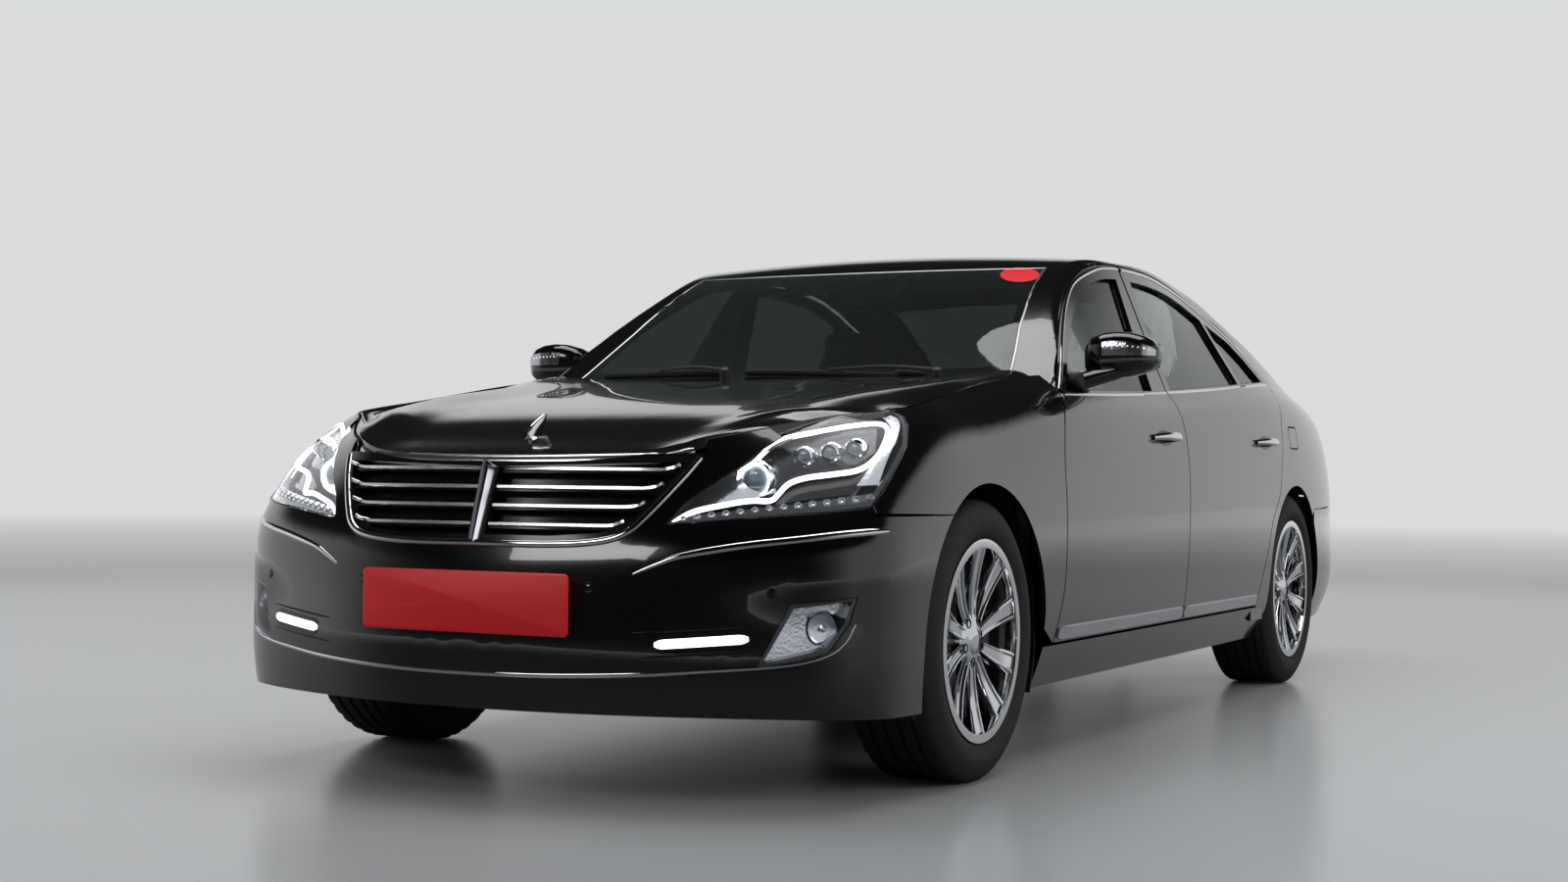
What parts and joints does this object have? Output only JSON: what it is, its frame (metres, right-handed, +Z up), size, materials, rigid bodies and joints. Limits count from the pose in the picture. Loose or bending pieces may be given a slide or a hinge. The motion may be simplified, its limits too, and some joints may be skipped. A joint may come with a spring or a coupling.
{
  "type": "sedan car",
  "caption": "Full-size sedan with hinged doors, hood, trunk lid and fuel flap, steered front wheels, spinning wheels and a hollow cabin.",
  "frame": {"origin": "on the floor below the middle of the car", "axes": "+X forward, +Y to the left of the driver, +Z up"},
  "size_m": [5.1437, 2.14, 1.4952],
  "materials": {
    "paint": "gloss clear coat",
    "glass": "tinted",
    "clear": "clear",
    "chrome": "polished",
    "lamp_inner": "metallised",
    "red_lens": "gloss",
    "rubber": "matte",
    "rim": "polished",
    "steel": "rough",
    "underseal": "matte",
    "exhaust": "satin",
    "engine": "matte",
    "trim": "soft grain",
    "seat_leather": "grained",
    "mirror_shell": "gloss"
  },
  "bodies": {
    "body": {"floor_pan": "underseal", "front_structure": "underseal", "body_side_left": "paint", "body_side_right": "paint", "fender_left": "paint", "fender_right": "paint", "roof": "paint", "windshield": "glass", "rear_window": "glass", "front_bumper": "paint", "grille": "chrome", "rear_bumper": "paint", "front_lamp_lenses": "clear", "front_lamp_housings": "lamp_inner", "tail_lamps": "red_lens", "front_suspension": "steel", "rear_suspension": "steel", "exhaust": "exhaust", "engine": "engine", "dashboard": "trim", "front_seats": "seat_leather", "rear_seat": "seat_leather"},
    "hood": {"hood": "paint"},
    "trunk_lid": {"trunk_lid": "paint"},
    "fuel_flap": {"fuel_flap": "paint"},
    "steering_wheel": {"steering_wheel": "trim"},
    "front_door_left": {"front_door_left": "paint", "front_door_glass_left": "glass", "mirror_left": "mirror_shell"},
    "rear_door_left": {"rear_door_left": "paint", "rear_door_glass_left": "glass"},
    "knuckle_left": {"knuckle_left": "steel"},
    "front_wheel_left": {"front_tyre_left": "rubber", "front_wheel_left": "rim"},
    "rear_wheel_left": {"rear_tyre_left": "rubber", "rear_wheel_left": "rim"},
    "front_door_right": {"front_door_right": "paint", "front_door_glass_right": "glass", "mirror_right": "mirror_shell"},
    "rear_door_right": {"rear_door_right": "paint", "rear_door_glass_right": "glass"},
    "knuckle_right": {"knuckle_right": "steel"},
    "front_wheel_right": {"front_tyre_right": "rubber", "front_wheel_right": "rim"},
    "rear_wheel_right": {"rear_tyre_right": "rubber", "rear_wheel_right": "rim"}
  },
  "joints": [
    {"name": "hood_hinge", "type": "hinge", "parent": "body", "child": "hood", "pos_m": [1.03, 0, 1.02], "axis": [0, -1, 0], "range_deg": [0, 50]},
    {"name": "trunk_hinge", "type": "hinge", "parent": "body", "child": "trunk_lid", "pos_m": [-1.935, 0, 1.11], "axis": [0, 1, 0], "range_deg": [0, 75]},
    {"name": "fuel_flap_hinge", "type": "hinge", "parent": "body", "child": "fuel_flap", "pos_m": [-1.3345, 0.933, 0.915], "axis": [0, 0, -1], "range_deg": [0, 80]},
    {"name": "front_door_left_hinge", "type": "hinge", "parent": "body", "child": "front_door_left", "pos_m": [1.07, 0.94, 0.7], "axis": [0, 0, -1], "range_deg": [0, 65]},
    {"name": "rear_door_left_hinge", "type": "hinge", "parent": "body", "child": "rear_door_left", "pos_m": [-0.063, 0.94, 0.7], "axis": [0, 0, -1], "range_deg": [0, 65]},
    {"name": "steering_left", "type": "hinge", "parent": "body", "child": "knuckle_left", "pos_m": [1.665, 0.76, 0.3515], "axis": [0, 0, 1], "range_deg": [-35, 35]},
    {"name": "front_wheel_left_spin", "type": "hinge", "parent": "knuckle_left", "child": "front_wheel_left", "pos_m": [1.665, 0.81, 0.3515], "axis": [0, 1, 0], "continuous": true},
    {"name": "rear_wheel_left_spin", "type": "hinge", "parent": "body", "child": "rear_wheel_left", "pos_m": [-1.38, 0.814, 0.3515], "axis": [0, 1, 0], "continuous": true},
    {"name": "front_door_right_hinge", "type": "hinge", "parent": "body", "child": "front_door_right", "pos_m": [1.07, -0.94, 0.7], "axis": [0, 0, 1], "range_deg": [0, 65]},
    {"name": "rear_door_right_hinge", "type": "hinge", "parent": "body", "child": "rear_door_right", "pos_m": [-0.063, -0.94, 0.7], "axis": [0, 0, 1], "range_deg": [0, 65]},
    {"name": "steering_right", "type": "hinge", "parent": "body", "child": "knuckle_right", "pos_m": [1.665, -0.76, 0.3515], "axis": [0, 0, 1], "range_deg": [-35, 35]},
    {"name": "front_wheel_right_spin", "type": "hinge", "parent": "knuckle_right", "child": "front_wheel_right", "pos_m": [1.665, -0.81, 0.3515], "axis": [0, 1, 0], "continuous": true},
    {"name": "rear_wheel_right_spin", "type": "hinge", "parent": "body", "child": "rear_wheel_right", "pos_m": [-1.38, -0.814, 0.3515], "axis": [0, 1, 0], "continuous": true},
    {"name": "steering_wheel_turn", "type": "hinge", "parent": "body", "child": "steering_wheel", "pos_m": [0.48, 0.38, 0.86], "axis": [-0.8988, 0, 0.4384], "range_deg": [-525, 525]}
  ],
  "couplings": [
    {"joint": "steering_right", "follows": "steering_left", "ratio": 1},
    {"joint": "steering_wheel_turn", "follows": "steering_left", "ratio": 15}
  ]
}
